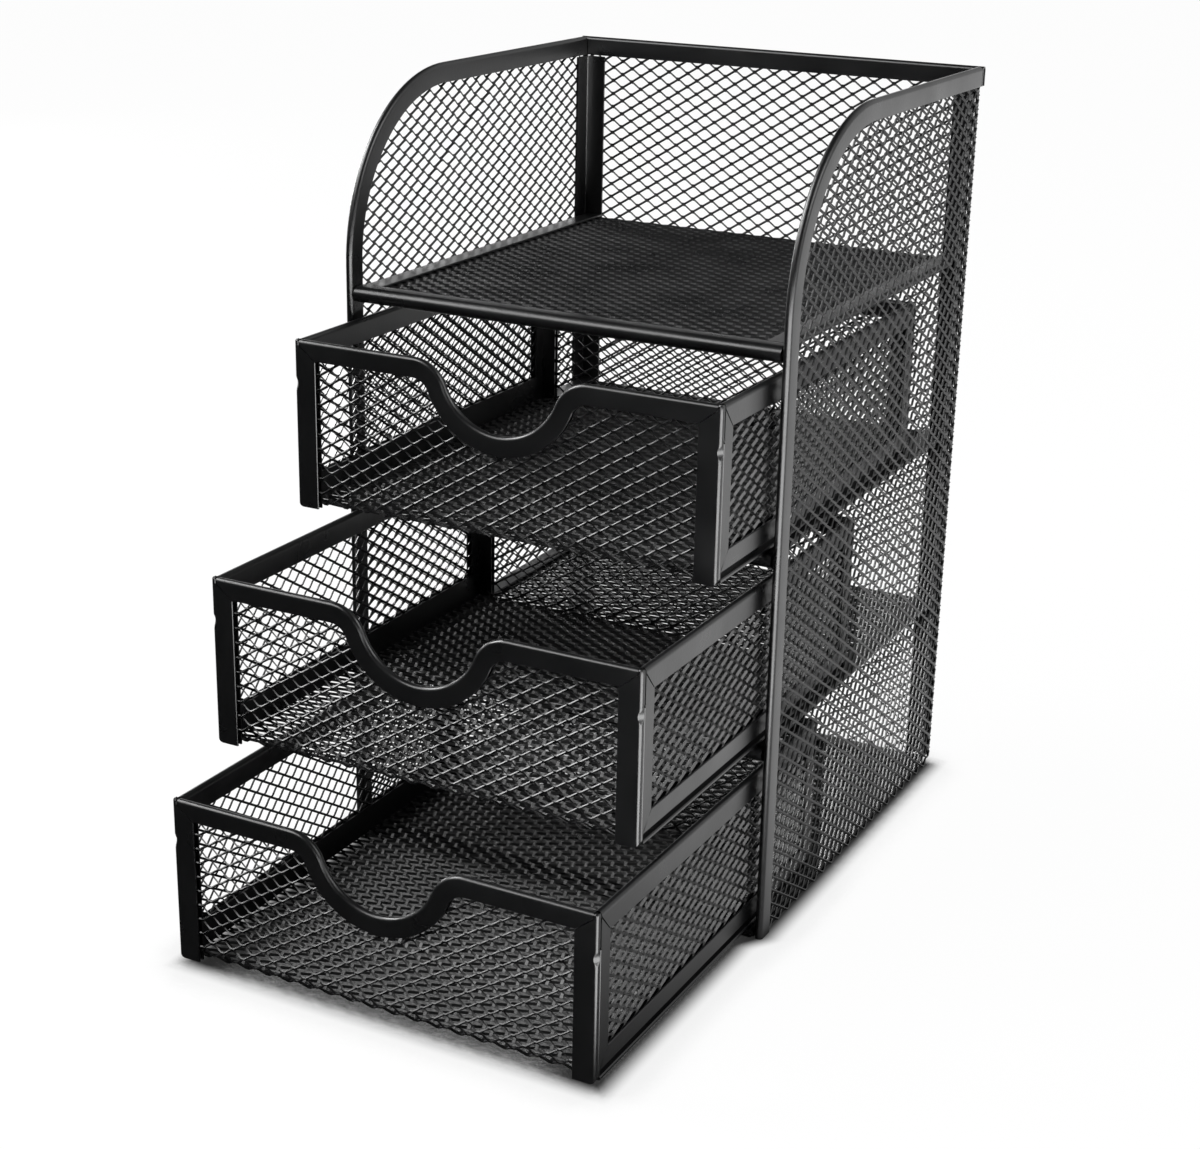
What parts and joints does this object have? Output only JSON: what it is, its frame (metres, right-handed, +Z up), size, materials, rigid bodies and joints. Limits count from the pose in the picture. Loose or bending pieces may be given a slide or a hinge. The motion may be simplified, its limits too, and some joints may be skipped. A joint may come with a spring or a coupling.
{
  "type": "mini drawer organizer",
  "caption": "Small black steel mesh desk organizer: an open tray with swept side panels on top, and stacked pull-out drawers below, each with a finger notch in its front.",
  "frame": {"origin": "On the table, in the middle of the rectangle that the case and the open drawers cover together", "axes": "+Z up; the drawers pull out towards -Y; X runs across the fronts and is the mirror direction"},
  "size_m": [0.13, 0.2212, 0.217],
  "materials": {
    "mesh": "satin",
    "strip": "semi-gloss"
  },
  "bodies": {
    "case": {"right_side_mesh": "mesh", "left_side_mesh": "mesh", "back_mesh": "mesh", "right_rim_strip": "strip", "left_rim_strip": "strip", "back_rim_strip": "strip", "right_corner_post": "strip", "left_corner_post": "strip", "base_floor": "strip", "lower_shelf_mesh": "mesh", "lower_shelf_nosing": "strip", "lower_shelf_right_strip": "strip", "lower_shelf_left_strip": "strip", "upper_shelf_mesh": "mesh", "upper_shelf_nosing": "strip", "upper_shelf_right_strip": "strip", "upper_shelf_left_strip": "strip", "top_tray_mesh": "mesh", "top_tray_nosing": "strip", "top_tray_right_strip": "strip", "top_tray_left_strip": "strip"},
    "bottom_drawer": {"bottom_drawer_body_mesh": "mesh", "bottom_drawer_right_side_mesh": "mesh", "bottom_drawer_left_side_mesh": "mesh", "bottom_drawer_front_strip": "strip", "bottom_drawer_right_front_corner": "strip", "bottom_drawer_left_front_corner": "strip", "bottom_drawer_right_back_corner": "strip", "bottom_drawer_left_back_corner": "strip", "bottom_drawer_back_strip": "strip", "bottom_drawer_right_top_strip": "strip", "bottom_drawer_left_top_strip": "strip", "bottom_drawer_right_bottom_strip": "strip", "bottom_drawer_left_bottom_strip": "strip"},
    "middle_drawer": {"middle_drawer_body_mesh": "mesh", "middle_drawer_right_side_mesh": "mesh", "middle_drawer_left_side_mesh": "mesh", "middle_drawer_front_strip": "strip", "middle_drawer_right_front_corner": "strip", "middle_drawer_left_front_corner": "strip", "middle_drawer_right_back_corner": "strip", "middle_drawer_left_back_corner": "strip", "middle_drawer_back_strip": "strip", "middle_drawer_right_top_strip": "strip", "middle_drawer_left_top_strip": "strip", "middle_drawer_right_bottom_strip": "strip", "middle_drawer_left_bottom_strip": "strip"},
    "top_drawer": {"top_drawer_body_mesh": "mesh", "top_drawer_right_side_mesh": "mesh", "top_drawer_left_side_mesh": "mesh", "top_drawer_front_strip": "strip", "top_drawer_right_front_corner": "strip", "top_drawer_left_front_corner": "strip", "top_drawer_right_back_corner": "strip", "top_drawer_left_back_corner": "strip", "top_drawer_back_strip": "strip", "top_drawer_right_top_strip": "strip", "top_drawer_left_top_strip": "strip", "top_drawer_right_bottom_strip": "strip", "top_drawer_left_bottom_strip": "strip"}
  },
  "joints": [
    {"name": "bottom_drawer_slide", "type": "slide", "parent": "case", "child": "bottom_drawer", "axis": [0, -1, 0], "range_m": [-0.0872, 0.0128]},
    {"name": "middle_drawer_slide", "type": "slide", "parent": "case", "child": "middle_drawer", "axis": [0, -1, 0], "range_m": [-0.0677, 0.0323]},
    {"name": "top_drawer_slide", "type": "slide", "parent": "case", "child": "top_drawer", "axis": [0, -1, 0], "range_m": [-0.0294, 0.0706]}
  ]
}
